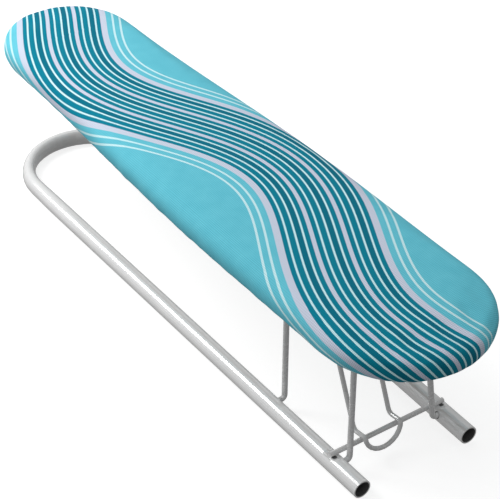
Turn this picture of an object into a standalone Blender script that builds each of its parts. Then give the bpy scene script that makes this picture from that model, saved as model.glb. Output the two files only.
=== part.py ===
"""Tabletop sleeve ironing board.

A long narrow padded board stands on a U-shaped tube base. Two trapezoid wire bails pivot in the tube
and under the board, so the board folds forwards and down as a parallelogram. A third wire bail
hangs from the board and hooks over a crossbar to lock it upright.

+X runs along the board to the open ends of the base, +Z is up, and the table is the plane z = 0.
All sizes are in metres.
"""

import math

import bmesh
import bpy
from mathutils import Matrix, Vector

GAP = 0.0003                  # running gap between neighbours

# Base: one bent tube, open at the front
TUBE_R = 0.00635
TUBE_WALL = 0.0012
TUBE_SIDES = 24
BASE_FRONT_X = 0.2212         # cut ends of the tube
BASE_FRONT_Y = 0.04295        # half the spacing of the tube at its cut ends
BEND_X = -0.18605             # centre of the bend
BEND_R = 0.0474
BEND_SQUASH = 0.24            # the tube narrows across the bend
BEND_SWELL = 0.08             # and grows taller
SQUASH_RUN = 0.030            # length of straight tube over which the squash fades
LEG_SQUASH = 0.45             # share of the full squash where the bend begins
SEAT_DENT = 0.0010            # the crown is pressed flat under the crossbar
SEAT_FLAT = 0.0025            # half length of the flat
SEAT_RUN = 0.0060             # half length of the flat and its run-outs
ARC_STEPS = 22

# Wire parts
WIRE_R = 0.002                # bails
CROSSBAR_R = 0.00175
CROSSBAR_X = 0.1914
CROSSBAR_Z = 0.0136
CROSSBAR_LENGTH = 0.0917

# Bails that carry the board
BAIL_FRONT_X = 0.1962         # foot axis of the front bail
BAIL_FOOT_Z = 0.0080          # a little above the tube's middle
BAIL_SPACING = 0.070          # rear bail stands this far behind it
BAIL_LEG = 0.0916             # foot axis to top axis
BAIL_LEAN = math.radians(4.92)
BAIL_FOOT_Y = 0.0337
BAIL_TOP_Y = 0.0271
BAIL_TIP_Y = 0.0415           # tips reach into the tube's bore
FOOT_BEND = 0.003
TOP_BEND = 0.005

# Lock bail, hung from the board and hooked over the crossbar
LOCK_R = 0.0016               # thinner wire than the bails
LOCK_X = 0.1490
LOCK_Y = -0.0068
LOCK_HALF = 0.0142
LOCK_BUTT = 0.0004            # half the gap where the wire's ends meet in the clip
LOCK_HEEL = (0.1838, 0.0164)  # x, z of the bend behind the crossbar
LOCK_TOE = (0.1954, 0.0180)   # x, z of the bend in front of it
LOOP_DROP = 0.0132
LOOP_SLANT = 0.0019           # the finger loop leans forward by this much
LOOP_STEPS = 12

# Board outline, half widths at a few stations
NEAR_TIP_X = 0.25515
NEAR_X = 0.1945
NEAR_HALF = 0.0595
WIDE_X = 0.0650
WIDE_HALF = 0.0604
FAR_X = -0.198
FAR_HALF = 0.0510
FAR_TIP_X = -0.25515
OUTLINE_END_STEPS = 22
OUTLINE_SIDE_STEPS = 6

# Board layers, built up from the axis of the bails' top bars
COVER_T = 0.0012
DECK_T = 0.0110
PAD_T = 0.0069
DECK_INSET = 0.0083
EDGE_R = 0.0090
COVER_LAP = 0.024             # the cover wraps this far under the board
CORD_R = 0.0015

# Clips and screws
CLIP_PLAY = 0.0004            # between a wire and its clip
CLIP_T = 0.0010
CLIP_WIDTH = 0.010
LOCK_CLIP_WIDTH = 0.014
CLIP_Y = 0.016
CLIP_FLANGE_X = 0.0098
SCREW_X = 0.0066
SCREW_HEAD_R = 0.0025
SCREW_HEAD_T = 0.0016
SCREW_R = 0.0013
SCREW_LENGTH = 0.0085
SCREW_HOLE_R = 0.0017
SCREW_SIDES = 12

BAIL_REAR_X = BAIL_FRONT_X - BAIL_SPACING
TOP_DX = -BAIL_LEG * math.sin(BAIL_LEAN)
TOP_Z = BAIL_FOOT_Z + BAIL_LEG * math.cos(BAIL_LEAN)
DECK_Z = TOP_Z + WIRE_R + CLIP_PLAY
LOCK_Z = DECK_Z - LOCK_R - CLIP_PLAY
COVER_Z = DECK_Z - GAP - COVER_T
BOARD_T = 2 * COVER_T + 3 * GAP + DECK_T + PAD_T
FLANGE_Z = DECK_Z - GAP - CLIP_T


def clear_scene():
    """Remove whatever the open file holds."""
    for old in list(bpy.data.objects):
        bpy.data.objects.remove(old, do_unlink=True)


def new_collection(name):
    """Make a collection under the scene's own."""
    collection = bpy.data.collections.new(name)
    bpy.context.scene.collection.children.link(collection)
    return collection


def new_material(name, colour, roughness, metallic=0.0):
    """Make a Principled material."""
    material = bpy.data.materials.new(name)
    material.use_nodes = True
    shader = material.node_tree.nodes["Principled BSDF"]
    shader.inputs["Base Color"].default_value = (*colour, 1.0)
    shader.inputs["Roughness"].default_value = roughness
    shader.inputs["Metallic"].default_value = metallic
    material.diffuse_color = (*colour, 1.0)
    return material


def add_object(name, data, collection, material=None, location=(0, 0, 0), parent=None):
    """Link a new object, at a world location, under an unturned parent."""
    item = bpy.data.objects.new(name, data)
    collection.objects.link(item)
    item.location = Vector(location)
    if parent is not None:
        item.parent = parent
        item.location = Vector(location) - parent.location
    if material is not None:
        data.materials.append(material)
    return item


def add_pivot(name, collection, location):
    """Add an empty on a joint's axis, for the pieces that turn there."""
    return add_object(name, None, collection, location=location)


def mesh_from_bmesh(name, bm):
    """Write a bmesh to a smooth-shaded mesh with sharp corners kept."""
    mesh = bpy.data.meshes.new(name)
    bmesh.ops.recalc_face_normals(bm, faces=bm.faces)
    bm.to_mesh(mesh)
    bm.free()
    mesh.shade_smooth()
    mesh.set_sharp_from_angle(angle=math.radians(35))
    return mesh


def curve_to_mesh(curve_object):
    """Replace a curve by its welded mesh, so that it can be cut."""
    name = curve_object.name
    curve_object.name = name + "_curve"
    depsgraph = bpy.context.evaluated_depsgraph_get()
    mesh = bpy.data.meshes.new_from_object(curve_object.evaluated_get(depsgraph))
    bm = bmesh.new()
    bm.from_mesh(mesh)
    bmesh.ops.remove_doubles(bm, verts=bm.verts, dist=1e-6)
    bm.to_mesh(mesh)
    bm.free()
    item = bpy.data.objects.new(name, mesh)
    for collection in curve_object.users_collection:
        collection.objects.link(item)
    item.parent = curve_object.parent
    item.matrix_world = curve_object.matrix_world
    bpy.data.objects.remove(curve_object, do_unlink=True)
    return item


def hide_cutter(item):
    """Show a cutter as a wire cage and keep it out of renders."""
    item.hide_render = True
    item.display_type = "WIRE"


def cut(target, cutter):
    """Take the cutter's shape out of the target."""
    modifier = target.modifiers.new("cut_" + cutter.name, "BOOLEAN")
    modifier.operation = "DIFFERENCE"
    modifier.solver = "EXACT"
    modifier.object = cutter


def round_corner(before, corner, after, radius, steps):
    """Points of an arc that rounds one corner of a path."""
    back = (before - corner).normalized()
    ahead = (after - corner).normalized()
    half = back.angle(ahead) / 2
    reach = radius / math.tan(half)
    centre = corner + (back + ahead).normalized() * radius / math.sin(half)
    start = corner + back * reach - centre
    axis = back.cross(ahead).normalized()
    sweep = 2 * half - math.pi
    return [centre + Matrix.Rotation(sweep * i / steps, 3, axis) @ start for i in range(steps + 1)]


def rounded_path(corners, radii, steps=5):
    """Turn corners with bend radii into a fine run of points."""
    points = [Vector(corners[0])]
    for before, corner, after, radius in zip(corners, corners[1:], corners[2:], radii[1:]):
        if radius:
            points += round_corner(Vector(before), Vector(corner), Vector(after), radius, steps)
        else:
            points.append(Vector(corner))
    points.append(Vector(corners[-1]))
    return points


def wire_data(name, points, radius, cyclic=False):
    """A round wire through the points, with filled ends."""
    curve = bpy.data.curves.new(name, "CURVE")
    curve.dimensions = "3D"
    curve.bevel_depth = radius
    curve.bevel_resolution = 4
    curve.use_fill_caps = True
    spline = curve.splines.new("POLY")
    spline.points.add(len(points) - 1)
    spline.use_cyclic_u = cyclic
    for knot, point in zip(spline.points, points):
        knot.co = (*point, 1.0)
    return curve


def ease(t):
    """Smooth rise from 0 to 1."""
    t = min(max(t, 0.0), 1.0)
    return (1 - math.cos(math.pi * t)) / 2


# Base

def leg_stations(start, end, side):
    """The straight leg of the tube: the squash fades out, and the crown dips under the crossbar."""
    along = (end - start).normalized()
    length = (end - start).length
    seat = length - (BASE_FRONT_X - CROSSBAR_X) / along.x
    run = [(SQUASH_RUN * i / 3, LEG_SQUASH * (1 - ease(i / 3)), 0.0) for i in (1, 2, 3)]
    run += [(seat - SEAT_RUN, 0.0, 0.0), (seat - SEAT_FLAT, 0.0, SEAT_DENT)]
    run += [(seat + SEAT_FLAT, 0.0, SEAT_DENT), (seat + SEAT_RUN, 0.0, 0.0), (length, 0.0, 0.0)]
    return [(start + along * reach, side, squash, dent) for reach, squash, dent in run]


def tube_stations():
    """Centre, sideways direction, squash and crown dent along the tube, between its cut ends."""
    reach = math.hypot(BASE_FRONT_X - BEND_X, BASE_FRONT_Y)
    outward = math.atan2(BASE_FRONT_Y, BASE_FRONT_X - BEND_X)
    tangent = outward + math.acos(BEND_R / reach)
    bend = []
    for i in range(ARC_STEPS + 1):
        angle = tangent + (2 * math.pi - 2 * tangent) * i / ARC_STEPS
        side = Vector((math.cos(angle), math.sin(angle), 0))
        turned = min(i, ARC_STEPS - i) / ARC_STEPS
        squash = LEG_SQUASH + (1 - LEG_SQUASH) * ease(4 * turned)
        bend.append((Vector((BEND_X, 0, 0)) + side * BEND_R, side, squash, 0.0))
    leg = leg_stations(bend[0][0], Vector((BASE_FRONT_X, BASE_FRONT_Y, 0)), bend[0][1])
    mirrored = [(Vector((p.x, -p.y, 0)), Vector((n.x, -n.y, 0)), q, d) for p, n, q, d in leg]
    return leg[::-1] + bend + mirrored


def tube_ring(bm, centre, side, squash, dent, inset):
    """One ring of the tube, its flats at full radius so that the lowest flat lies on the table."""
    flat = math.cos(math.pi / TUBE_SIDES)
    wide = (TUBE_R * (1 - BEND_SQUASH * squash) - inset) / flat
    tall = (TUBE_R * (1 + BEND_SWELL * squash) - inset) / flat
    middle = TUBE_R * (1 + BEND_SWELL * squash)
    ring = []
    for j in range(TUBE_SIDES):
        angle = 2 * math.pi * (j + 0.5) / TUBE_SIDES
        height = middle + tall * math.sin(angle)
        if dent:
            height = min(height, 2 * TUBE_R - dent - inset)
        offset = side * wide * math.cos(angle) + Vector((0, 0, height))
        ring.append(bm.verts.new(centre + offset))
    return ring


def bridge(bm, first, second):
    """Join two rings with quads."""
    for j in range(len(first)):
        k = (j + 1) % len(first)
        bm.faces.new((first[j], first[k], second[k], second[j]))


def build_base_tube(collection, material, cutters):
    """The bent tube: outer skin, bore and open cut ends, with its pivot holes and crossbar seats."""
    bm = bmesh.new()
    outer = [tube_ring(bm, *station, 0.0) for station in tube_stations()]
    inner = [tube_ring(bm, *station, TUBE_WALL) for station in tube_stations()]
    for rings in (outer, inner):
        for first, second in zip(rings, rings[1:]):
            bridge(bm, first, second)
    bridge(bm, outer[0], inner[0])
    bridge(bm, outer[-1], inner[-1])
    tube = add_object("base_tube", mesh_from_bmesh("base_tube", bm), collection, material)
    cut(tube, build_pivot_cutter(cutters))
    cut(tube, build_seat_cutter(cutters))
    return tube


def add_cylinder(bm, radius, length, sides, matrix):
    """Add a closed cylinder to a bmesh, along the matrix's own Z."""
    bmesh.ops.create_cone(bm, cap_ends=True, segments=sides, radius1=radius, radius2=radius,
                          depth=length, matrix=matrix)


def build_pivot_cutter(cutters):
    """Holes for the bails' feet, through the tube's inner walls and into its bore only."""
    bm = bmesh.new()
    reach = 1.6 * TUBE_R
    for x in (BAIL_FRONT_X, BAIL_REAR_X):
        for side in (-1, 1):
            place = Matrix.Translation((x, side * (BASE_FRONT_Y - reach / 2), BAIL_FOOT_Z))
            turn = Matrix.Rotation(math.pi / 2, 4, "X")
            add_cylinder(bm, WIRE_R + 1.5 * GAP, reach, 16, place @ turn)
    cutter = add_object("pivot_holes", mesh_from_bmesh("pivot_holes", bm), cutters)
    hide_cutter(cutter)
    return cutter


def build_seat_cutter(cutters):
    """Shallow seats across the tube's crown, where the crossbar is set in."""
    bm = bmesh.new()
    place = Matrix.Translation((CROSSBAR_X, 0, CROSSBAR_Z)) @ Matrix.Rotation(math.pi / 2, 4, "X")
    add_cylinder(bm, CROSSBAR_R + GAP, 0.12, 16, place)
    cutter = add_object("crossbar_seats", mesh_from_bmesh("crossbar_seats", bm), cutters)
    hide_cutter(cutter)
    return cutter


def build_crossbar(collection, material):
    """The wire across the tube that stops the front bail and holds the lock."""
    half = CROSSBAR_LENGTH / 2
    ends = [Vector((0, -half, 0)), Vector((0, half, 0))]
    curve = wire_data("crossbar", ends, CROSSBAR_R)
    add_object("crossbar", curve, collection, material, (CROSSBAR_X, 0, CROSSBAR_Z))


# Bails

def bail_points():
    """A bail in its own upright frame: the foot axis is at the origin."""
    half = [(BAIL_TIP_Y, 0), (BAIL_FOOT_Y, 0), (BAIL_TOP_Y, BAIL_LEG)]
    corners = [(0, -y, z) for y, z in half] + [(0, y, z) for y, z in half[::-1]]
    radii = [0, FOOT_BEND, TOP_BEND, TOP_BEND, FOOT_BEND, 0]
    return rounded_path(corners, radii)


def build_bail(name, x, collection, material):
    """One leaning bail, hinged at its feet."""
    curve = wire_data(name, bail_points(), WIRE_R)
    bail = add_object(name, curve, collection, material, (x, 0, BAIL_FOOT_Z))
    bail.rotation_euler = (0, -BAIL_LEAN, 0)


def lock_points():
    """The lock bail's wire from its pivot, down, over the crossbar and around the finger loop."""
    heel = Vector((LOCK_HEEL[0] - LOCK_X, 0, LOCK_HEEL[1] - LOCK_Z))
    toe = Vector((LOCK_TOE[0] - LOCK_X, 0, LOCK_TOE[1] - LOCK_Z))
    side = Vector((0, LOCK_HALF, 0))
    corners = [Vector((0, -LOCK_BUTT, 0)), -side, heel - side, toe - side]
    for i in range(1, LOOP_STEPS):
        angle = math.pi * i / LOOP_STEPS
        drop = Vector((LOOP_SLANT, 0, -LOOP_DROP)) * math.sin(angle)
        corners.append(toe + drop - side * math.cos(angle))
    corners += [toe + side, heel + side, side, Vector((0, LOCK_BUTT, 0))]
    radii = [0, 0.004, 0.004, 0.0020] + [0] * (LOOP_STEPS - 1) + [0.0020, 0.004, 0.004, 0]
    return rounded_path(corners, radii, steps=4)


def build_lock_bail(collection, material):
    """The wire catch, hinged in its clip under the board."""
    curve = wire_data("lock_bail", lock_points(), LOCK_R)
    add_object("lock_bail", curve, collection, material, (LOCK_X, LOCK_Y, LOCK_Z))


# Board

def half_width(x):
    """Half the board's width between its two round ends."""
    if x > WIDE_X:
        return WIDE_HALF + (NEAR_HALF - WIDE_HALF) * ease((x - WIDE_X) / (NEAR_X - WIDE_X))
    return FAR_HALF + (WIDE_HALF - FAR_HALF) * ease((x - FAR_X) / (WIDE_X - FAR_X))


def outline():
    """The board's outline, anticlockwise, as two half ellipses and two eased sides."""
    points = []
    for i in range(OUTLINE_END_STEPS + 1):
        angle = math.pi * (i / OUTLINE_END_STEPS - 0.5)
        across = NEAR_TIP_X - NEAR_X
        points.append(Vector((NEAR_X + across * math.cos(angle), NEAR_HALF * math.sin(angle))))
    stations = []
    for start, end in ((NEAR_X, WIDE_X), (WIDE_X, FAR_X)):
        stations += [start + (end - start) * i / OUTLINE_SIDE_STEPS for i in range(1, OUTLINE_SIDE_STEPS + 1)]
    stations.pop()
    points += [Vector((x, half_width(x))) for x in stations]
    for i in range(OUTLINE_END_STEPS + 1):
        angle = math.pi * (i / OUTLINE_END_STEPS + 0.5)
        across = FAR_X - FAR_TIP_X
        points.append(Vector((FAR_X + across * math.cos(angle), FAR_HALF * math.sin(angle))))
    points += [Vector((x, -half_width(x))) for x in reversed(stations)]
    return points


def inset_outline(inset):
    """The outline moved inwards by a constant distance."""
    points = outline()
    moved = []
    for i, point in enumerate(points):
        along = (points[(i + 1) % len(points)] - points[i - 1]).normalized()
        moved.append(point + Vector((-along.y, along.x)) * inset)
    return moved


def build_slab(name, inset, bottom, top, edge_r, collection, parent=None):
    """A flat board shape with rounded edges, as a closed mesh."""
    curve = bpy.data.curves.new(name, "CURVE")
    curve.dimensions = "2D"
    curve.fill_mode = "BOTH"
    curve.extrude = (top - bottom) / 2 - edge_r
    curve.bevel_depth = edge_r
    curve.bevel_resolution = 3 if edge_r > 0.003 else 0
    spline = curve.splines.new("POLY")
    points = inset_outline(inset + edge_r)
    spline.points.add(len(points) - 1)
    spline.use_cyclic_u = True
    for knot, point in zip(spline.points, points):
        knot.co = (point.x, point.y, 0.0, 1.0)
    slab = add_object(name, curve, collection, None, (0, 0, (bottom + top) / 2), parent)
    bpy.context.view_layer.update()
    slab = curve_to_mesh(slab)
    slab.data.shade_smooth()
    slab.data.set_sharp_from_angle(angle=math.radians(35))
    return slab


def build_deck(collection, pivot, material, holes):
    """The stiff panel that the bails are fixed to."""
    deck = build_slab("deck", DECK_INSET, DECK_Z, DECK_Z + DECK_T, 0.0012, collection, pivot)
    deck.data.materials.append(material)
    cut(deck, holes)


def build_pad(collection, pivot, material, cutters):
    """The foam, laid over the deck and down its sides."""
    bottom = COVER_Z + COVER_T + GAP
    inset = COVER_T + GAP
    pad = build_slab("foam_pad", inset, bottom, COVER_Z + BOARD_T - inset, EDGE_R - inset, collection, pivot)
    pad.data.materials.append(material)
    pocket = build_slab("deck_pocket", DECK_INSET - GAP, bottom - 0.01, DECK_Z + DECK_T + GAP, 0.0009,
                        cutters, pivot)
    hide_cutter(pocket)
    cut(pad, pocket)


def build_cover(collection, pivot, material, cutters):
    """The fabric cover: over the top, around the edge and under the board by the lap."""
    top = COVER_Z + BOARD_T
    cover = build_slab("cover", 0.0, COVER_Z, top, EDGE_R, collection, pivot)
    cover.data.materials.append(material)
    inside = build_slab("cover_inside", COVER_T, COVER_Z + COVER_T, top - COVER_T, EDGE_R - COVER_T,
                        cutters, pivot)
    mouth = build_slab("cover_mouth", COVER_LAP, COVER_Z - 0.005, DECK_Z, 0.001, cutters, pivot)
    for cutter in (inside, mouth):
        hide_cutter(cutter)
        cut(cover, cutter)


def build_hem_cord(collection, pivot, material):
    """The elastic cord that gathers the cover's edge under the board."""
    height = DECK_Z - GAP - CORD_R
    points = [Vector((p.x, p.y, 0)) for p in inset_outline(COVER_LAP + GAP + CORD_R)]
    curve = wire_data("hem_cord", points, CORD_R, cyclic=True)
    curve.bevel_resolution = 2
    add_object("hem_cord", curve, collection, material, (0, 0, height), pivot)


# Clips and screws

def clip_places():
    """Name, x, y, width and wire radius of each clip: two to a bail, and one for the lock."""
    places = [("lock_clip", LOCK_X, LOCK_Y, LOCK_CLIP_WIDTH, LOCK_R)]
    for end, foot in (("front", BAIL_FRONT_X), ("rear", BAIL_REAR_X)):
        for side, y in (("left", CLIP_Y), ("right", -CLIP_Y)):
            places.append((end + "_clip_" + side, foot + TOP_DX, y, CLIP_WIDTH, WIRE_R))
    return places


def build_clip(place, collection, pivot, material, holes):
    """A strap bent around the wire, with a flange on each side."""
    name, x, y, width, wire_r = place
    axis_z = DECK_Z - wire_r - CLIP_PLAY
    level = FLANGE_Z + CLIP_T / 2 - axis_z
    radius = wire_r + CLIP_PLAY + CLIP_T / 2
    arc = [math.pi * (1 + i / 8) for i in range(9)]
    profile = [(-CLIP_FLANGE_X, level), (-radius, level)]
    profile += [(radius * math.cos(a), radius * math.sin(a)) for a in arc]
    profile += [(radius, level), (CLIP_FLANGE_X, level)]
    bm = bmesh.new()
    edge = [bm.verts.new((px, -width / 2, pz)) for px, pz in profile]
    rail = [bm.edges.new(pair) for pair in zip(edge, edge[1:])]
    swept = bmesh.ops.extrude_edge_only(bm, edges=rail)["geom"]
    far = [item for item in swept if isinstance(item, bmesh.types.BMVert)]
    bmesh.ops.translate(bm, verts=far, vec=(0, width, 0))
    clip = add_object(name, mesh_from_bmesh(name, bm), collection, material, (x, y, axis_z), pivot)
    shell = clip.modifiers.new("strap", "SOLIDIFY")
    shell.thickness = CLIP_T
    shell.offset = 0
    shell.use_even_offset = True
    cut(clip, holes)


def screw_places():
    """Name, x and y of each screw: one in each flange."""
    places = []
    for name, x, y, _, _ in clip_places():
        for flange, dx in (("fore", SCREW_X), ("aft", -SCREW_X)):
            places.append((name.replace("clip", "screw") + "_" + flange, x + dx, y))
    return places


def build_screw_holes(cutters, pivot):
    """Clearance for every screw, through the clips and into the deck."""
    bm = bmesh.new()
    bottom = FLANGE_Z - 0.0012
    top = FLANGE_Z + SCREW_LENGTH + GAP
    for _, x, y in screw_places():
        place = Matrix.Translation(Vector((x, y, (bottom + top) / 2)) - pivot.location)
        add_cylinder(bm, SCREW_HOLE_R, top - bottom, SCREW_SIDES, place)
    holes = add_object("screw_holes", mesh_from_bmesh("screw_holes", bm), cutters, None, pivot.location, pivot)
    hide_cutter(holes)
    return holes


def screw_mesh():
    """Half section of a pan-head screw, head up, run down its outer side."""
    profile = [
        (0, SCREW_HEAD_T),
        (SCREW_HEAD_R * 0.7, SCREW_HEAD_T * 0.9),
        (SCREW_HEAD_R, SCREW_HEAD_T * 0.3),
        (SCREW_HEAD_R, 0),
        (SCREW_R, 0),
        (SCREW_R, -SCREW_LENGTH + 0.002),
        (0, -SCREW_LENGTH),
    ]
    mesh = bpy.data.meshes.new("screw")
    points = [(x, 0, z) for x, z in profile]
    mesh.from_pydata(points, [(i, i + 1) for i in range(len(points) - 1)], [])
    return mesh


def build_screw(place, collection, pivot, material):
    """One screw, turned head down under its flange."""
    name, x, y = place
    screw = add_object(name, screw_mesh(), collection, material, (x, y, FLANGE_Z - GAP), pivot)
    screw.rotation_euler = (math.pi, 0, 0)
    turn = screw.modifiers.new("turned", "SCREW")
    turn.steps = SCREW_SIDES
    turn.render_steps = SCREW_SIDES
    turn.use_merge_vertices = True
    turn.merge_threshold = 0.00001
    turn.use_smooth_shade = False


def build_board(collection, cutters):
    """Everything that rides on the bails' top bars."""
    fabric = new_material("cover_fabric", (0.12, 0.55, 0.68), 0.9)
    foam = new_material("foam", (0.85, 0.82, 0.72), 0.95)
    panel = new_material("panel", (0.52, 0.38, 0.24), 0.8)
    elastic = new_material("elastic", (0.85, 0.87, 0.88), 0.8)
    steel = new_material("zinc_steel", (0.62, 0.63, 0.64), 0.35, 1.0)
    pivot = add_pivot("board_pivot", collection, (BAIL_FRONT_X + TOP_DX, 0, TOP_Z))
    holes = build_screw_holes(cutters, pivot)
    build_deck(collection, pivot, panel, holes)
    build_pad(collection, pivot, foam, cutters)
    build_cover(collection, pivot, fabric, cutters)
    build_hem_cord(collection, pivot, elastic)
    for place in clip_places():
        build_clip(place, collection, pivot, steel, holes)
    for place in screw_places():
        build_screw(place, collection, pivot, steel)


def build():
    """Build the whole object."""
    clear_scene()
    collection = new_collection("sleeve_ironing_board")
    cutters = new_collection("cutters")
    paint = new_material("tube_paint", (0.60, 0.61, 0.62), 0.35, 0.3)
    wire = new_material("wire_paint", (0.42, 0.42, 0.43), 0.4, 0.6)
    build_base_tube(collection, paint, cutters)
    build_crossbar(collection, wire)
    build_bail("front_bail", BAIL_FRONT_X, collection, wire)
    build_bail("rear_bail", BAIL_REAR_X, collection, wire)
    build_lock_bail(collection, wire)
    build_board(collection, cutters)


build()
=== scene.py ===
"""Looks for the tabletop sleeve ironing board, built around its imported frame. Sizes are in metres."""

import math

import bmesh
import bpy
import numpy as np
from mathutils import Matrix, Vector


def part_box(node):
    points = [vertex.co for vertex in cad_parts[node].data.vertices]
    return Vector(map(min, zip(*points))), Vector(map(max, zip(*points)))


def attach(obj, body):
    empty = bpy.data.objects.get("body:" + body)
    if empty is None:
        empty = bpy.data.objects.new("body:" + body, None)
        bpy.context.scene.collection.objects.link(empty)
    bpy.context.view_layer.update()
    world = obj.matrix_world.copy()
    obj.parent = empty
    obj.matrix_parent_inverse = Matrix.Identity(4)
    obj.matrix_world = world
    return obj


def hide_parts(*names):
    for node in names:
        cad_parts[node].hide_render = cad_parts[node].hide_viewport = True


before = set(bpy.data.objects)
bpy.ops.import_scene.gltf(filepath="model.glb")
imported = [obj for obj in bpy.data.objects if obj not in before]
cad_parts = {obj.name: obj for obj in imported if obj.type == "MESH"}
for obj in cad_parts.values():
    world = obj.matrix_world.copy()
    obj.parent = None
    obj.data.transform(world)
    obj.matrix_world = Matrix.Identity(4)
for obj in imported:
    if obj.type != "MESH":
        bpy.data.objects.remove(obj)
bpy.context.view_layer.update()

# Camera: where it stands, what it looks at, and its lens in millimetres
CAMERA_AT = (0.78055, -0.5137, 0.7201)
CAMERA_LOOKS_AT = (-0.03115, 0.0476, 0.0)
CAMERA_LENS = 118.08

# Cover: its shape
EDGE_R = 0.0090               # rounding of the padded edge
CROWN_RISE = 0.0015           # the top swells this much from its edge to its middle
CROWN_SLOPE = 0.088           # its slope at the edge, in radians
LAP = 0.0235                  # the cover reaches this far under the board
NEAR_ROUND = 0.0607           # length of the round near end
FAR_ROUND = 0.0572            # length of the round far end
RIM_STEPS = 320
RIM_EASING = 14               # rounds of averaging that take the facets out of the rim
ROUND_STEPS = 7
LAP_STEPS = 8
TOP_STEPS = 17
SWELL_LIMIT = 0.0012          # the simulated cloth moves no further than this
SWELL_ASIDE = 0.25            # share of its sideways movement that is kept
FLAT_TOLERANCE = 0.00002      # height within which a CAD vertex counts as on the flat top
HELD_HEIGHT = 0.004           # the cloth is held below this height above its underside
CLOTH_PRESSURE = 4.0
CLOTH_STIFFNESS = 30
SIM_FRAMES = 20
PLEATS = 96                   # gathers round the hem
PLEAT_DEPTH = 0.0011
PLEAT_REACH = 1.3 * EDGE_R    # the pleats fade out over this height
SLACK = 0.0005                # unevenness of the lower side
TURN_STRETCH = 3.2            # evens out the pleats round the long outline

# Hem: the casing of its elastic
HEM_R = 0.0013
HEM_RUCHE = 0.0004            # the casing's radius grows and shrinks by this much
HEM_GAP = 0.0005              # from the lap's edge to the middle of the casing
HEM_SIDES = 10

# Cover: its print, a plain wave of stripes along the flat cloth
WAVE_RISE = 0.027             # height of the wave
WAVE_LENGTH = 0.340
WAVE_START = -0.045           # x where it rises through the middle
BAND_HALF = 0.0312            # half width of the striped band
STRIPE_GROUP = 0.0208         # four stripes and the lines between them
BORDER = 0.0032               # pale line on each side of the band
ECHO_LINES = (0.0395, 0.0450)  # middles of the thin lines outside the band
ECHO_HALF = 0.0008            # half width of a thin line
THIN_LINES = (0.25, 0.50, 0.75)  # middles of the pale lines, as shares of a group
THIN_HALF = 0.033             # half width of one, as a share of a group
GROUP_EDGE = 0.070            # half width of the line between groups, likewise
WEAVE_PITCH = 0.0026

# Base tube's open legs, for the shade painted inside them
TUBE_R = 0.00635
LEG_END = (0.2212, 0.04295)   # x, y of the cut ends
LEG_SPLAY = 0.0109            # the legs spread this much for each unit towards the bend
BORE_R = TUBE_R - 0.0008      # anything nearer to a leg's axis is inside the tube, where dark grey shade is painted
BORE_FROM_X = 0.10            # only the front of the legs shows its inside, so only there is shade painted

# Studio
BRIGHT_SIDE = (-0.55, -0.10, 0.83)  # way from the board to the surround's bright side
AIM = (0, 0, 0.06)            # what the lights point at
FLOOR_HALF = 6.0
FLOOR_GLOW = 0.76

# Colours, linear
FIELD = (0.130, 0.560, 0.690, 1)
FIELD_LIGHT = (0.150, 0.600, 0.730, 1)
TEAL = (0.001, 0.220, 0.320, 1)
TEAL_DARK = (0.001, 0.165, 0.250, 1)
LAVENDER = (0.620, 0.680, 0.810, 1)
PALE = (0.600, 0.880, 0.930, 1)


# Loops

def even_loop(points, count):
    """A closed run of points, spaced evenly."""
    ring = np.vstack([points, points[:1]])
    reach = np.concatenate([[0], np.cumsum(np.linalg.norm(np.diff(ring, axis=0), axis=1))])
    at = np.linspace(0, reach[-1], count, endpoint=False)
    return np.stack([np.interp(at, reach, ring[:, k]) for k in (0, 1)], axis=1)


def ease_ring(ring):
    """A closed run of points or offsets, with its corners softened."""
    for _ in range(RIM_EASING):
        ring = (np.roll(ring, 1, axis=0) + 2 * ring + np.roll(ring, -1, axis=0)) / 4
    return ring


def ripple(at, seed, waves):
    """A smooth random wave round a loop, about -1 to 1. at runs from 0 to 1."""
    random = np.random.default_rng(seed)
    total = np.zeros_like(at)
    for wave in waves:
        total += random.uniform(0.5, 1.0) * np.sin(2 * math.pi * (wave * at + random.uniform()))
    return total / len(waves)


# Objects

def add_mesh(name, vertices, faces, material):
    """A smooth-shaded mesh object."""
    mesh = bpy.data.meshes.new(name)
    mesh.from_pydata([tuple(v) for v in vertices], [], faces)
    mesh.materials.append(material)
    mesh.shade_smooth()
    item = bpy.data.objects.new(name, mesh)
    bpy.context.scene.collection.objects.link(item)
    return item


def apply_modifiers(item):
    """Keep the object's evaluated mesh and drop its modifiers."""
    depsgraph = bpy.context.evaluated_depsgraph_get()
    mesh = bpy.data.meshes.new_from_object(item.evaluated_get(depsgraph))
    item.modifiers.clear()
    item.data = mesh


def coordinates(mesh):
    """The mesh's vertices as an array."""
    flat = np.empty(len(mesh.vertices) * 3, np.float32)
    mesh.vertices.foreach_get("co", flat)
    return flat.reshape(-1, 3).astype(float)


def set_coordinates(mesh, points):
    """Write an array back to the mesh's vertices."""
    mesh.vertices.foreach_set("co", points.astype(np.float32).ravel())
    mesh.update()


def ring_faces(rings, count):
    """Quads between neighbouring closed rings of vertices."""
    faces = []
    for k in range(rings - 1):
        low = k * count
        for i in range(count):
            j = (i + 1) % count
            faces.append((low + i, low + j, low + count + j, low + count + i))
    return faces


# Node trees

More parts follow.
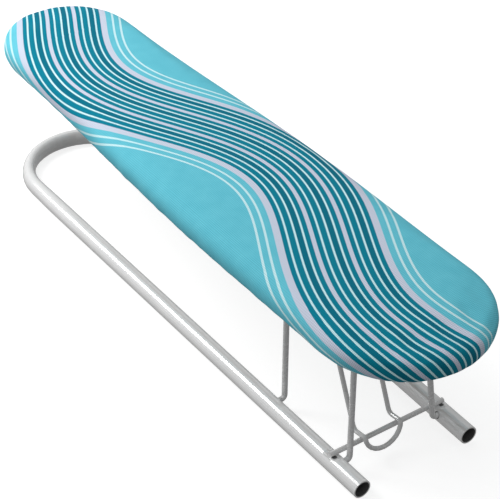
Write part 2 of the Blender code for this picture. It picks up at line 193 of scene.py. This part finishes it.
class Tree:
    """A short way to write a material's nodes."""

    def __init__(self, name):
        self.material = bpy.data.materials.new(name)
        self.material.use_nodes = True
        self.nodes = self.material.node_tree.nodes
        self.shader = self.nodes["Principled BSDF"]

    def join(self, source, socket):
        """Link a socket to an input, or set the input to a value."""
        if isinstance(source, bpy.types.NodeSocket):
            self.material.node_tree.links.new(source, socket)
        else:
            socket.default_value = source

    def math(self, operation, *values):
        """A Math node's result."""
        node = self.nodes.new("ShaderNodeMath")
        node.operation = operation
        for value, socket in zip(values, node.inputs):
            self.join(value, socket)
        return node.outputs[0]

    def both(self, first, second):
        """1 where two masks are 1."""
        return self.math("MULTIPLY", first, second)

    def above(self, value, level):
        """1 where value is over level."""
        return self.math("GREATER_THAN", value, level)

    def below(self, value, level):
        """1 where value is under level."""
        return self.math("LESS_THAN", value, level)

    def mix(self, mask, under, over):
        """One colour laid over another where the mask is 1."""
        node = self.nodes.new("ShaderNodeMix")
        node.data_type = "RGBA"
        self.join(mask, node.inputs["Factor"])
        self.join(under, node.inputs["A"])
        self.join(over, node.inputs["B"])
        return node.outputs["Result"]

    def ramp(self, value, stops, interpolation="CONSTANT"):
        """Colour by value: stops are (position, colour)."""
        node = self.nodes.new("ShaderNodeValToRGB")
        ramp = node.color_ramp
        ramp.interpolation = interpolation
        ramp.elements[0].position = stops[0][0]
        ramp.elements[0].color = stops[0][1]
        ramp.elements[1].position = stops[1][0]
        ramp.elements[1].color = stops[1][1]
        for position, colour in stops[2:]:
            ramp.elements.new(position).color = colour
        self.join(value, node.inputs[0])
        return node.outputs[0]

    def attribute(self, name, output="Fac"):
        """A mesh attribute."""
        node = self.nodes.new("ShaderNodeAttribute")
        node.attribute_name = name
        return node.outputs[output]

    def position(self):
        """The object's own coordinates."""
        return self.nodes.new("ShaderNodeTexCoord").outputs["Object"]

    def noise(self, vector, scale, detail=3.0, roughness=0.5):
        """A noise pattern."""
        node = self.nodes.new("ShaderNodeTexNoise")
        node.inputs["Scale"].default_value = scale
        node.inputs["Detail"].default_value = detail
        node.inputs["Roughness"].default_value = roughness
        self.join(vector, node.inputs["Vector"])
        return node.outputs[0]

    def spread(self, value, low, high, from_low=0.3, from_high=0.7):
        """A value mapped to a range."""
        node = self.nodes.new("ShaderNodeMapRange")
        self.join(value, node.inputs["Value"])
        ends = {"From Min": from_low, "From Max": from_high, "To Min": low, "To Max": high}
        for name, number in ends.items():
            node.inputs[name].default_value = number
        return node.outputs[0]

    def bump(self, height, distance, strength=1.0, normal=None):
        """A bumped normal."""
        node = self.nodes.new("ShaderNodeBump")
        node.inputs["Distance"].default_value = distance
        node.inputs["Strength"].default_value = strength
        self.join(height, node.inputs["Height"])
        if normal is not None:
            self.join(normal, node.inputs["Normal"])
        return node.outputs[0]

    def finish(self, colour, roughness, normal=None, **constants):
        """Connect the shader. Constants are set on its own sockets."""
        self.join(colour, self.shader.inputs["Base Color"])
        self.join(roughness, self.shader.inputs["Roughness"])
        if normal is not None:
            self.join(normal, self.shader.inputs["Normal"])
        for name, value in constants.items():
            self.shader.inputs[name.replace("_", " ")].default_value = value
        return self.material


# Cover: its print

def stripe_group():
    """Ramp stops for one group of stripes: four teal ones, split by thin pale lines."""
    stops = [(0.0, LAVENDER), (GROUP_EDGE, TEAL)]
    for line, shade in zip(THIN_LINES, (TEAL, TEAL_DARK, TEAL)):
        stops += [(line - THIN_HALF, PALE), (line + THIN_HALF, shade)]
    return stops + [(1 - GROUP_EDGE, LAVENDER)]


def wave_layer(tree, under):
    """The striped band, its pale borders and the thin lines that echo it, laid over what is under it."""
    wave = tree.attribute("wave")
    away = tree.math("ABSOLUTE", wave)
    group = tree.math("FRACT", tree.math("DIVIDE", tree.math("ADD", wave, BAND_HALF), STRIPE_GROUP))
    colour = under
    for line in ECHO_LINES:
        echo = tree.below(tree.math("ABSOLUTE", tree.math("SUBTRACT", away, line)), ECHO_HALF)
        colour = tree.mix(echo, colour, PALE)
    colour = tree.mix(tree.below(away, BAND_HALF + BORDER), colour, LAVENDER)
    return tree.mix(tree.below(away, BAND_HALF), colour, tree.ramp(group, stripe_group()))


def cover_material():
    """Printed cotton: a plain weave, its print, a little unevenness of the dye, and painted shade and light
    that darken the weave's hollows and lighten its crests.
    """
    tree = Tree("cover_cloth")
    cloth = tree.attribute("cloth", "Vector")
    field = tree.mix(tree.spread(tree.noise(cloth, 90.0, 4.0), 0.0, 1.0), FIELD, FIELD_LIGHT)
    colour = wave_layer(tree, field)
    weave = weave_height(tree, cloth)
    slub = tree.noise(cloth, 900.0, 2.0)
    # Painted shade and light: the colour is darkened in the weave's hollows and lightened on its crests
    shade = tree.nodes.new("ShaderNodeHueSaturation")
    tree.join(tree.spread(weave, 0.78, 1.15, 0.0, 1.0), shade.inputs["Value"])
    tree.join(colour, shade.inputs["Color"])
    normal = tree.bump(weave, 0.00012, 0.6)
    normal = tree.bump(slub, 0.0001, 0.3, normal)
    roughness = tree.spread(slub, 0.78, 0.95)
    return tree.finish(shade.outputs[0], roughness, normal, Specular_IOR_Level=0.08, Sheen_Weight=0.02)


def weave_height(tree, cloth):
    """Height of a plain weave with a diagonal grain."""
    split = tree.nodes.new("ShaderNodeSeparateXYZ")
    tree.join(cloth, split.inputs[0])
    turn = 2 * math.pi / WEAVE_PITCH
    across = tree.math("ADD", split.outputs["X"], split.outputs["Y"])
    back = tree.math("SUBTRACT", split.outputs["X"], split.outputs["Y"])
    first = tree.math("SINE", tree.math("MULTIPLY", across, turn))
    second = tree.math("SINE", tree.math("MULTIPLY", back, turn))
    return tree.spread(tree.math("MULTIPLY", first, second), 0.0, 1.0, -1.0, 1.0)


def wave_distance(points):
    """Distance of each place on the flat cloth from the middle of the wave, for the print."""
    turn = 2 * math.pi / WAVE_LENGTH
    phase = turn * (points[:, 0] - WAVE_START)
    slope = WAVE_RISE * turn * np.cos(phase)
    return (points[:, 1] - WAVE_RISE * np.sin(phase)) / np.sqrt(1 + slope ** 2)


# Cover: its shape

def board_rim():
    """The cover's outline in plan and its outward directions, from the edge of the CAD cover's flat top."""
    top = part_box("cover")[1].z
    points = coordinates(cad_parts["cover"].data)
    on_top = np.abs(points[:, 2] - top) < FLAT_TOLERANCE
    flat = np.unique(np.round(points[on_top][:, :2], 5), axis=0)
    flat = flat[np.argsort(np.arctan2(flat[:, 1], flat[:, 0]))]
    flat = np.roll(flat, -int(flat[:, 0].argmax()), axis=0)
    facets = even_loop(flat, RIM_STEPS)
    eased = ease_ring(facets)
    edge = eased + ease_ring(facets - eased)
    along = np.roll(edge, -1, axis=0) - np.roll(edge, 1, axis=0)
    along /= np.linalg.norm(along, axis=1)[:, None]
    outward = np.stack([along[:, 1], -along[:, 0]], axis=1)
    return edge + outward * EDGE_R, outward


def crown_inset():
    """How far inside the rim the rounded edge meets the crowned top."""
    return EDGE_R * (1 - math.sin(CROWN_SLOPE))


def edge_profile(low, high):
    """Inset, height and cloth distance past the crowned top, from the hem out and up to that top."""
    side = high - low - 2 * EDGE_R
    upper = EDGE_R * (math.pi / 2 - CROWN_SLOPE)
    lower = upper + side + EDGE_R * math.pi / 2
    stations = []
    for k in range(LAP_STEPS):
        inset = LAP + (EDGE_R - LAP) * k / LAP_STEPS
        stations.append((inset, low, lower + inset - EDGE_R))
    for k in range(ROUND_STEPS + 1):
        a = math.pi / 2 * k / ROUND_STEPS
        inset = EDGE_R * (1 - math.sin(a))
        stations.append((inset, low + EDGE_R * (1 - math.cos(a)), lower - EDGE_R * a))
    for k in range(ROUND_STEPS + 1):
        a = math.pi / 2 + (CROWN_SLOPE - math.pi / 2) * k / ROUND_STEPS
        inset = EDGE_R * (1 - math.sin(a))
        stations.append((inset, high - EDGE_R * (1 - math.cos(a)), EDGE_R * (a - CROWN_SLOPE)))
    return stations


def cover_points(rim, outward, low, high):
    """Every vertex of the cover, ring by ring, with its place on the flat cloth."""
    shape, cloth = [], []
    crown = rim - outward * crown_inset()
    edge_top = high.z - CROWN_RISE + EDGE_R * (1 - math.cos(CROWN_SLOPE))
    for inset, height, reach in edge_profile(low.z, edge_top):
        ring = rim - outward * inset
        shape.append(np.column_stack([ring, np.full(len(rim), height)]))
        cloth.append(crown + outward * reach)
    spine = np.column_stack([np.clip(rim[:, 0], low.x + FAR_ROUND, high.x - NEAR_ROUND), np.zeros(len(rim))])
    for k in range(1, TOP_STEPS + 1):
        ring = crown + (spine - crown) * k / TOP_STEPS
        height = high.z - CROWN_RISE * (1 - k / TOP_STEPS) ** 3
        shape.append(np.column_stack([ring, np.full(len(rim), height)]))
        cloth.append(ring)
    return np.vstack(shape), np.vstack(cloth), len(shape)


def store(mesh, name, values, kind="FLOAT"):
    """Write a point attribute."""
    data = mesh.attributes.new(name, kind, "POINT").data
    data.foreach_set("value" if kind == "FLOAT" else "vector", values.astype(np.float32).ravel())


def weld(mesh, distance):
    """Join vertices that meet and drop the faces that vanish."""
    bm = bmesh.new()
    bm.from_mesh(mesh)
    bmesh.ops.remove_doubles(bm, verts=bm.verts, dist=distance)
    bmesh.ops.dissolve_degenerate(bm, edges=bm.edges, dist=distance)
    bmesh.ops.recalc_face_normals(bm, faces=bm.faces)
    bm.to_mesh(mesh)
    bm.free()


def inflate(item, low):
    """Swell the cover as cloth pulled over foam, with its lap held, and cap how far it moves."""
    rest = coordinates(item.data)
    held = item.vertex_groups.new(name="held")
    held.add([int(i) for i in np.flatnonzero(rest[:, 2] < low.z + HELD_HEIGHT)], 1.0, "REPLACE")
    cloth = item.modifiers.new("cloth", "CLOTH")
    cloth.settings.vertex_group_mass = "held"
    cloth.settings.quality = 5
    cloth.settings.use_pressure = True
    cloth.settings.uniform_pressure_force = CLOTH_PRESSURE
    cloth.settings.effector_weights.gravity = 0
    cloth.settings.tension_stiffness = CLOTH_STIFFNESS
    cloth.settings.compression_stiffness = CLOTH_STIFFNESS
    cloth.collision_settings.use_collision = False
    cloth.point_cache.frame_start = 1
    cloth.point_cache.frame_end = SIM_FRAMES
    for number in range(1, SIM_FRAMES + 1):
        bpy.context.scene.frame_set(number)
    apply_modifiers(item)
    bpy.context.scene.frame_set(1)
    item.vertex_groups.clear()
    move = coordinates(item.data) - rest
    size = np.linalg.norm(move, axis=1)
    move[:, :2] *= SWELL_ASIDE
    move *= (SWELL_LIMIT * np.tanh(size / SWELL_LIMIT) / np.maximum(size, 1e-9))[:, None]
    set_coordinates(item.data, rest + move)


def gather(item, low):
    """Pull the lap and the lower side into the small pleats of an elastic hem."""
    points = coordinates(item.data)
    turn = np.arctan2(points[:, 1] * TURN_STRETCH, points[:, 0]) / (2 * math.pi) % 1.0
    depth = np.clip((low.z + PLEAT_REACH - points[:, 2]) / PLEAT_REACH, 0, 1) ** 1.5
    wave = np.sin(2 * math.pi * PLEATS * turn + 2.2 * ripple(turn, 3, (5, 11, 17)))
    swell = 0.6 + 0.4 * ripple(turn, 4, (7, 13, 29))
    points[:, 2] -= PLEAT_DEPTH * depth * swell * (0.5 + 0.5 * wave)
    lowness = np.clip((low.z + 2 * EDGE_R - points[:, 2]) / EDGE_R, 0, 1)
    slack = SLACK * ripple(turn, 5, (31, 47, 59, 71)) * lowness
    away = points[:, :2] / np.maximum(np.linalg.norm(points[:, :2], axis=1), 1e-6)[:, None]
    points[:, :2] += away * slack[:, None]
    set_coordinates(item.data, points)


def build_cover():
    """The padded, printed cover over the board."""
    low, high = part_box("cover")
    rim, outward = board_rim()
    shape, cloth, rings = cover_points(rim, outward, low, high)
    cover = add_mesh("padded_cover", shape, ring_faces(rings, len(rim)), cover_material())
    store(cover.data, "cloth", np.column_stack([cloth, np.zeros(len(cloth))]), "FLOAT_VECTOR")
    weld(cover.data, 0.00005)
    inflate(cover, low)
    gather(cover, low)
    cover.modifiers.new("fine", "SUBSURF").levels = 1
    cover.modifiers["fine"].render_levels = 1
    apply_modifiers(cover)
    plan = np.empty(len(cover.data.vertices) * 3, np.float32)
    cover.data.attributes["cloth"].data.foreach_get("vector", plan)
    store(cover.data, "wave", wave_distance(plan.reshape(-1, 3).astype(float)))
    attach(cover, "board")
    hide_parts("cover", "foam_pad")
    return rim, outward


def build_hem(rim, outward):
    """The gathered casing of the elastic, round the mouth of the cover."""
    low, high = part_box("hem_cord")
    count = len(rim)
    turn = np.arange(count) / count
    folds = 2 * math.pi * PLEATS * turn + 2 * ripple(turn, 3, (5, 11, 17))
    radius = HEM_R + HEM_RUCHE * np.sin(folds)
    middle = rim - outward * (LAP + HEM_GAP)
    rings = []
    for k in range(HEM_SIDES):
        a = 2 * math.pi * k / HEM_SIDES
        plan = middle + outward * (radius * math.cos(a))[:, None]
        rings.append(np.column_stack([plan, (low.z + high.z) / 2 + radius * math.sin(a)]))
    rings.append(rings[0])
    hem = add_mesh("elastic_hem", np.vstack(rings), ring_faces(HEM_SIDES + 1, count), hem_material())
    weld(hem.data, 0.00001)
    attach(hem, "board")
    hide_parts("hem_cord")


def hem_material():
    """Pale woven elastic, a little uneven."""
    tree = Tree("woven_elastic")
    place = tree.position()
    rib = tree.noise(place, 1400.0, 2.0)
    colour = tree.ramp(rib, [(0.3, (0.52, 0.56, 0.58, 1)), (0.7, (0.82, 0.85, 0.87, 1))], "LINEAR")
    return tree.finish(colour, tree.spread(rib, 0.75, 0.95), tree.bump(rib, 0.0002, 0.6))


# Metal and board

def paint_finish(tree, tone, shine):
    """Satin paint over steel: slight orange peel, and handling marks in the gloss."""
    place = tree.position()
    grain = tree.noise(place, 1100.0, 2.0)
    marks = tree.noise(place, 260.0, 5.0, 0.7)
    roughness = tree.spread(marks, shine, shine + 0.05)
    normal = tree.bump(grain, 0.00003, 0.02)
    return tree.finish(tone, roughness, normal, Metallic=0.2, Coat_Weight=0.7, Coat_Roughness=0.06)


def cloudy_tone(tree, dark, light):
    """Two close tones of paint, mixed in soft clouds."""
    cloud = tree.noise(tree.position(), 45.0, 4.0, 0.6)
    return tree.ramp(cloud, [(0.30, dark), (0.62, light)], "LINEAR")


def wire_paint():
    """Grey paint on the wires."""
    tree = Tree("wire_coat")
    return paint_finish(tree, cloudy_tone(tree, (0.74, 0.74, 0.74, 1), (0.80, 0.80, 0.80, 1)), 0.24)


def tube_paint():
    """Pale paint on the tube, with dark grey painted shade inside its open ends."""
    tree = Tree("tube_coat")
    split = tree.nodes.new("ShaderNodeSeparateXYZ")
    tree.join(tree.position(), split.inputs[0])
    back = tree.math("SUBTRACT", LEG_END[0], split.outputs["X"])
    middle = tree.math("ADD", tree.math("MULTIPLY", back, LEG_SPLAY), LEG_END[1])
    aside = tree.math("SUBTRACT", tree.math("ABSOLUTE", split.outputs["Y"]), middle)
    up = tree.math("SUBTRACT", split.outputs["Z"], TUBE_R)
    off = tree.math("SQRT", tree.math("ADD", tree.math("POWER", aside, 2.0), tree.math("POWER", up, 2.0)))
    # Mask of the tube's inside at its open ends, where shade is painted in
    bore_painted_shade = tree.both(tree.below(off, BORE_R), tree.above(split.outputs["X"], BORE_FROM_X))
    tone = cloudy_tone(tree, (0.90, 0.90, 0.90, 1), (0.95, 0.95, 0.95, 1))
    # Dark grey painted shade inside the open ends, laid over the pale paint
    return paint_finish(tree, tree.mix(bore_painted_shade, tone, (0.14, 0.14, 0.14, 1)), 0.20)


def zinc_plate():
    """Zinc-plated steel, a little cloudy."""
    tree = Tree("zinc_plate")
    place = tree.position()
    cloud = tree.noise(place, 300.0, 4.0, 0.6)
    tone = tree.ramp(cloud, [(0.3, (0.40, 0.41, 0.43, 1)), (0.7, (0.66, 0.67, 0.68, 1))], "LINEAR")
    return tree.finish(tone, tree.spread(cloud, 0.25, 0.48), tree.bump(cloud, 0.0001, 0.3), Metallic=1.0)


def fibreboard():
    """Pressed wood fibre, with darker flecks."""
    tree = Tree("fibreboard")
    place = tree.position()
    fibre = tree.noise(place, 420.0, 6.0, 0.7)
    cloud = tree.noise(place, 25.0, 3.0)
    browns = [(0.28, (0.17, 0.10, 0.05, 1)), (0.5, (0.36, 0.24, 0.13, 1)), (0.75, (0.50, 0.36, 0.21, 1))]
    tone = tree.ramp(fibre, browns, "LINEAR")
    tone = tree.mix(tree.spread(cloud, 0.0, 0.35), tone, (0.26, 0.17, 0.09, 1))
    return tree.finish(tone, tree.spread(fibre, 0.70, 0.92), tree.bump(fibre, 0.0002, 0.5))


def dress_nodes():
    """Give every carried-over CAD node its material."""
    looks = {"base_tube": tube_paint()}
    wire = wire_paint()
    zinc = zinc_plate()
    looks["deck"] = fibreboard()
    for name in ("crossbar", "front_bail", "rear_bail", "lock_bail"):
        looks[name] = wire
    for name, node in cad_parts.items():
        if name not in ("cover", "foam_pad", "hem_cord"):
            node.data.materials.clear()
            node.data.materials.append(looks.get(name, zinc))


# Studio

def build_floor():
    """A plain pale floor that glows a little, so that shadows on it stay faint."""
    tree = Tree("floor_paper")
    tree.finish((0.45, 0.45, 0.45, 1), 0.9, None, Emission_Color=(1, 1, 1, 1), Emission_Strength=FLOOR_GLOW)
    corners = [(x * FLOOR_HALF, y * FLOOR_HALF, 0) for x, y in ((-1, -1), (1, -1), (1, 1), (-1, 1))]
    floor = add_mesh("floor", corners, [(0, 1, 2, 3)], tree.material)
    floor.visible_diffuse = False
    floor.visible_glossy = False


def add_area_light(name, place, size, power):
    """A soft rectangular light aimed at the board."""
    light = bpy.data.lights.new(name, "AREA")
    light.shape = "RECTANGLE"
    light.size, light.size_y = size
    light.energy = power
    item = bpy.data.objects.new(name, light)
    bpy.context.scene.collection.objects.link(item)
    item.location = place
    item.rotation_euler = (Vector(AIM) - Vector(place)).to_track_quat("-Z", "Y").to_euler()


def build_surround():
    """A studio that is bright overhead and past the far end of the board, and dim near the ground."""
    world = bpy.data.worlds.new("surround")
    world.use_nodes = True
    nodes = world.node_tree.nodes
    links = world.node_tree.links
    facing = nodes.new("ShaderNodeVectorMath")
    facing.operation = "DOT_PRODUCT"
    facing.inputs[1].default_value = BRIGHT_SIDE
    links.new(nodes.new("ShaderNodeTexCoord").outputs["Generated"], facing.inputs[0])
    ramp = nodes.new("ShaderNodeValToRGB")
    ramp.color_ramp.elements[0].color = (0.14, 0.14, 0.14, 1)
    ramp.color_ramp.elements[1].color = (0.62, 0.62, 0.62, 1)
    ramp.color_ramp.elements.new(0.5).color = (0.36, 0.36, 0.36, 1)
    lift = nodes.new("ShaderNodeMapRange")
    lift.inputs["From Min"].default_value = -1.0
    links.new(facing.outputs["Value"], lift.inputs["Value"])
    links.new(lift.outputs[0], ramp.inputs[0])
    links.new(ramp.outputs[0], nodes["Background"].inputs["Color"])
    bpy.context.scene.world = world


def build_studio():
    """Floor, soft lights and surround."""
    bpy.context.scene.view_settings.view_transform = "Standard"
    build_floor()
    build_surround()
    add_area_light("key", (-0.50, -0.32, 0.58), (0.35, 0.35), 3.2)
    add_area_light("strip", (-0.10, -0.30, 1.20), (1.1, 0.08), 1.6)


def build_camera():
    """The camera at the viewing angle."""
    data = bpy.data.cameras.new("camera")
    data.lens = CAMERA_LENS
    camera = bpy.data.objects.new("camera", data)
    bpy.context.scene.collection.objects.link(camera)
    camera.location = CAMERA_AT
    aim = Vector(CAMERA_LOOKS_AT) - Vector(CAMERA_AT)
    camera.rotation_euler = aim.to_track_quat("-Z", "Y").to_euler()
    bpy.context.scene.camera = camera


build_camera()
build_studio()
dress_nodes()
rim, outward = build_cover()
build_hem(rim, outward)
